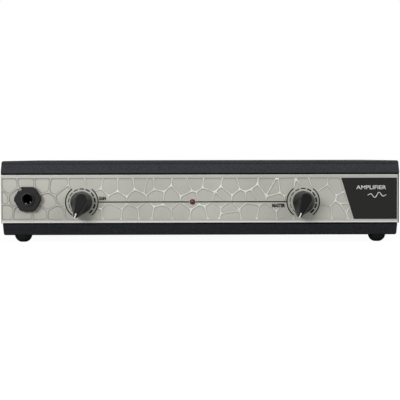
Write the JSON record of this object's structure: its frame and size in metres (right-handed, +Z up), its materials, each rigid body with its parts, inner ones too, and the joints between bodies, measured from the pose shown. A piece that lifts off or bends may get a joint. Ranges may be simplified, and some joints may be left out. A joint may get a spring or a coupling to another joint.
{
  "type": "guitar amp head",
  "caption": "Slim rack-low amplifier head: dark folded case with leaning front lips, pale patterned front panel, input jack, pointer knobs, pilot light and rear sockets.",
  "frame": {"origin": "on the floor, under the middle of the whole head", "axes": "+X to the right as the player sees the front, +Y from front to rear, +Z up"},
  "size_m": [0.2798, 0.2216, 0.0574],
  "materials": {
    "case_steel": "fine textured powder coat",
    "panel_metal": "satin, bead blasted",
    "badge_black": "satin",
    "foot_rubber": "matte",
    "black_screw": "black oxide",
    "zinc_steel": "zinc plated",
    "black_plastic": "moulded",
    "socket_blue": "moulded",
    "knob_plastic": "moulded",
    "plated_metal": "nickel plated",
    "red_lens": "clear tinted",
    "board_green": "solder mask",
    "chip_black": "moulded",
    "can_sleeve": "shrink sleeve",
    "film_box": "moulded",
    "sink_aluminium": "extruded",
    "ferrite": "sintered",
    "tape_yellow": "polyester tape",
    "copper_winding": "enamelled wire",
    "fuse_glass": "clear",
    "wire_sleeve": "extruded",
    "cable_grey": "extruded"
  },
  "bodies": {
    "case": {"chassis_base": "case_steel", "top_cover": "case_steel", "rear_panel": "case_steel", "front_panel": "panel_metal", "badge_plate": "badge_black", "rubber_feet": "foot_rubber", "case_screws": "black_screw", "rear_screws": "black_screw", "clinch_nuts": "zinc_steel", "rear_nuts": "zinc_steel", "board_screws": "zinc_steel", "board_standoffs": "zinc_steel", "fan_screws": "zinc_steel", "pot_nuts": "zinc_steel", "pot_washers": "zinc_steel", "input_jack_body": "black_plastic", "input_jack_nut": "black_plastic", "input_jack_washer": "black_plastic", "led_holder": "black_plastic", "inlet_housing": "black_plastic", "switch_frame": "black_plastic", "balanced_socket": "black_plastic", "mini_jacks": "black_plastic", "ground_lift_switch": "black_plastic", "fan_frame": "black_plastic", "speaker_socket": "socket_blue", "input_jack_contacts": "plated_metal", "pot_pins": "plated_metal", "potentiometers": "plated_metal", "inlet_blades": "plated_metal", "balanced_pins": "plated_metal", "socket_tabs": "plated_metal", "mini_jack_nuts": "plated_metal", "pilot_led": "red_lens", "preamp_board": "board_green", "amp_board": "board_green", "power_board": "board_green", "rear_board": "board_green", "preamp_chips": "chip_black", "output_transistors": "chip_black", "signal_capacitors": "can_sleeve", "supply_capacitors": "can_sleeve", "film_capacitors": "film_box", "heatsink": "sink_aluminium", "transformer_core": "ferrite", "transformer_coil": "tape_yellow", "output_coils": "copper_winding", "mains_choke": "copper_winding", "mains_wires": "wire_sleeve", "speaker_wires": "wire_sleeve", "ribbon_cable": "cable_grey"},
    "gain_dial": {"gain_knob": "knob_plastic", "gain_shaft": "plated_metal"},
    "master_dial": {"master_knob": "knob_plastic", "master_shaft": "plated_metal"},
    "power_rocker": {"switch_rocker": "black_plastic"},
    "lift_button": {"ground_lift_button": "black_plastic"},
    "fuse_carrier": {"fuse_drawer": "black_plastic", "mains_fuse": "fuse_glass"},
    "fan_wheel": {"fan_rotor": "black_plastic"}
  },
  "joints": [
    {"name": "gain_knob_turn", "type": "hinge", "parent": "case", "child": "gain_dial", "pos_m": [-0.0829, -0.09545, 0.02855], "axis": [0, 1, 0], "range_deg": [0, 300]},
    {"name": "master_knob_turn", "type": "hinge", "parent": "case", "child": "master_dial", "pos_m": [0.0724, -0.09545, 0.02855], "axis": [0, 1, 0], "range_deg": [0, 300]},
    {"name": "power_rocker_tilt", "type": "hinge", "parent": "case", "child": "power_rocker", "pos_m": [0.0672, 0.10455, 0.0312], "axis": [1, 0, 0], "range_deg": [0, 25.4]},
    {"name": "ground_lift_push", "type": "slide", "parent": "case", "child": "lift_button", "axis": [0, -1, 0], "range_m": [0, 0.0025]},
    {"name": "fuse_drawer_slide", "type": "slide", "parent": "case", "child": "fuse_carrier", "axis": [0, 1, 0], "range_m": [0, 0.012]},
    {"name": "fan_spin", "type": "hinge", "parent": "case", "child": "fan_wheel", "pos_m": [-0.1324, 0.01165, 0.0307], "axis": [1, 0, 0], "continuous": true}
  ]
}
